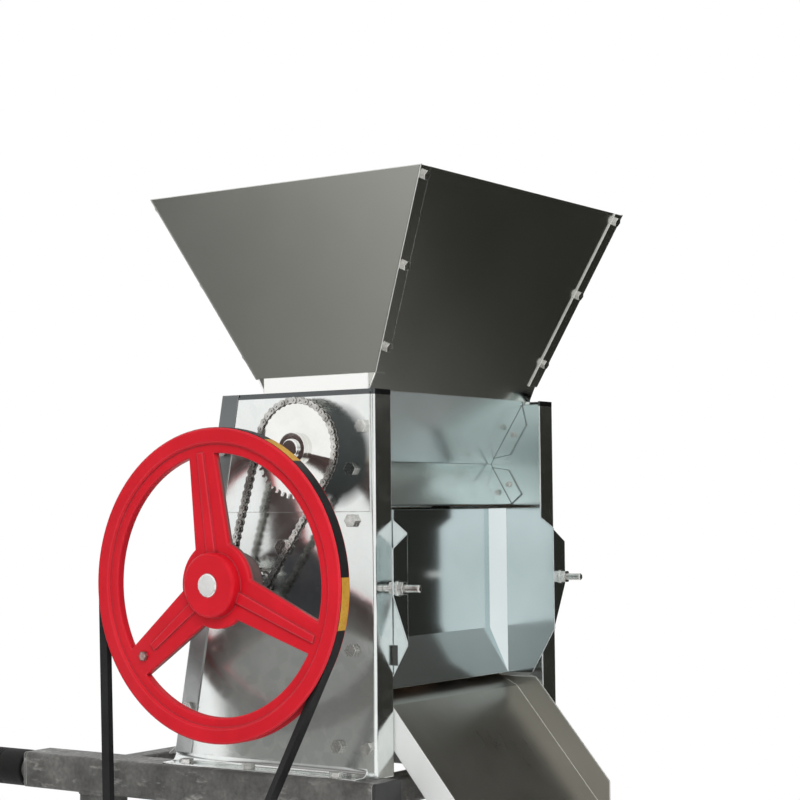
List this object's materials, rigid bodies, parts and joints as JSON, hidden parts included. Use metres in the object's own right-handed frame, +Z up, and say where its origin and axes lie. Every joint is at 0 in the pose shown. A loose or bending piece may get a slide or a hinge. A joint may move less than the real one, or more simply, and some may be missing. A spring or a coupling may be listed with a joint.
{
  "type": "coffee pulper",
  "caption": "Drum coffee pulper with an open hopper, adjustable breast, discharge chute, belt-driven flywheel and chain-driven feed roller on a tube stand.",
  "frame": {"origin": "on the floor, at the middle of the four floor-bolt holes in the foot plates", "axes": "+X along the drum shaft from the flywheel side to the other side, +Y from the chute to the back, +Z up"},
  "size_m": [0.5225, 0.651, 1.0537],
  "materials": {
    "galvanised": "satin galvanised sheet, lightly mirror-like",
    "hopper_steel": "satin sheet with faint rolling lines",
    "stainless": "bright rolled sheet",
    "zinc": "zinc plated",
    "cast_iron": "rough casting, dark",
    "bare_steel": "turned steel",
    "oiled_steel": "oily",
    "punched_copper": "punched copper sheet",
    "red_paint": "gloss enamel over a casting",
    "belt_rubber": "matt",
    "grip_rubber": "matt",
    "motor_paint": "semi-gloss",
    "black_plastic": "matt",
    "stand_grey": "mottled grey"
  },
  "bodies": {
    "frame": {"left_side_plate": "galvanised", "right_side_plate": "galvanised", "upper_panels": "galvanised", "rear_wall": "galvanised", "hopper_left_sheet": "hopper_steel", "hopper_right_sheet": "hopper_steel", "hopper_front_sheet": "hopper_steel", "hopper_rear_sheet": "hopper_steel", "hopper_bolts": "zinc", "hopper_nuts": "zinc", "throat_plate": "stainless", "throat_liners": "stainless", "throat_back_plate": "stainless", "throat_screws": "zinc", "adjusting_studs": "zinc", "discharge_chute": "stainless", "chute_brackets": "stainless", "skin_slide": "stainless", "casing_bolts": "zinc", "casing_nuts": "zinc", "drum_bearing_housings": "cast_iron", "feed_bearings": "cast_iron", "bearing_bolts": "zinc", "roller_chain": "oiled_steel", "drive_belt": "belt_rubber", "motor_barrel": "motor_paint", "motor_stator": "bare_steel", "motor_front_shield": "motor_paint", "motor_rear_shield": "motor_paint", "motor_tie_screws": "zinc", "motor_fan_cover": "motor_paint", "terminal_box": "motor_paint", "cable_gland": "black_plastic", "motor_shelf": "stand_grey", "motor_bolts": "zinc", "stand_rails": "stand_grey", "stand_legs": "stand_grey", "stand_bars": "stand_grey", "foot_plates": "stand_grey", "rail_handles": "stand_grey", "rail_grips": "grip_rubber", "rail_plugs": "black_plastic"},
    "drum_unit": {"drum_shaft": "bare_steel", "drum_core": "bare_steel", "drum_sleeve": "punched_copper", "drum_bearing_rings": "bare_steel", "flywheel": "red_paint", "flywheel_key": "bare_steel", "crank_bolt": "zinc", "small_sprocket": "bare_steel"},
    "feed_unit": {"feed_shaft": "bare_steel", "feed_roller": "bare_steel", "feed_collar": "bare_steel", "large_sprocket": "bare_steel"},
    "motor_unit": {"motor_rotor": "bare_steel", "motor_fan": "black_plastic", "motor_pulley": "cast_iron"},
    "breast_unit": {"breast_plate": "stainless", "breast_shoe": "cast_iron", "adjusting_nuts": "zinc"}
  },
  "joints": [
    {"name": "drum_spin", "type": "hinge", "parent": "frame", "child": "drum_unit", "pos_m": [0, -0.045, 0.629], "axis": [1, 0, 0], "continuous": true, "deforming": ["roller_chain"]},
    {"name": "feed_spin", "type": "hinge", "parent": "frame", "child": "feed_unit", "pos_m": [0, -0.11424, 0.77096], "axis": [1, 0, 0], "continuous": true},
    {"name": "motor_spin", "type": "hinge", "parent": "frame", "child": "motor_unit", "pos_m": [0, 0.065, 0.16], "axis": [1, 0, 0], "continuous": true},
    {"name": "breast_adjust", "type": "slide", "parent": "frame", "child": "breast_unit", "axis": [0, 1, 0], "range_m": [-0.006, 0.002]}
  ],
  "couplings": [
    {"joint": "feed_spin", "follows": "drum_spin", "ratio": 0.5},
    {"joint": "motor_spin", "follows": "drum_spin", "ratio": 4}
  ]
}
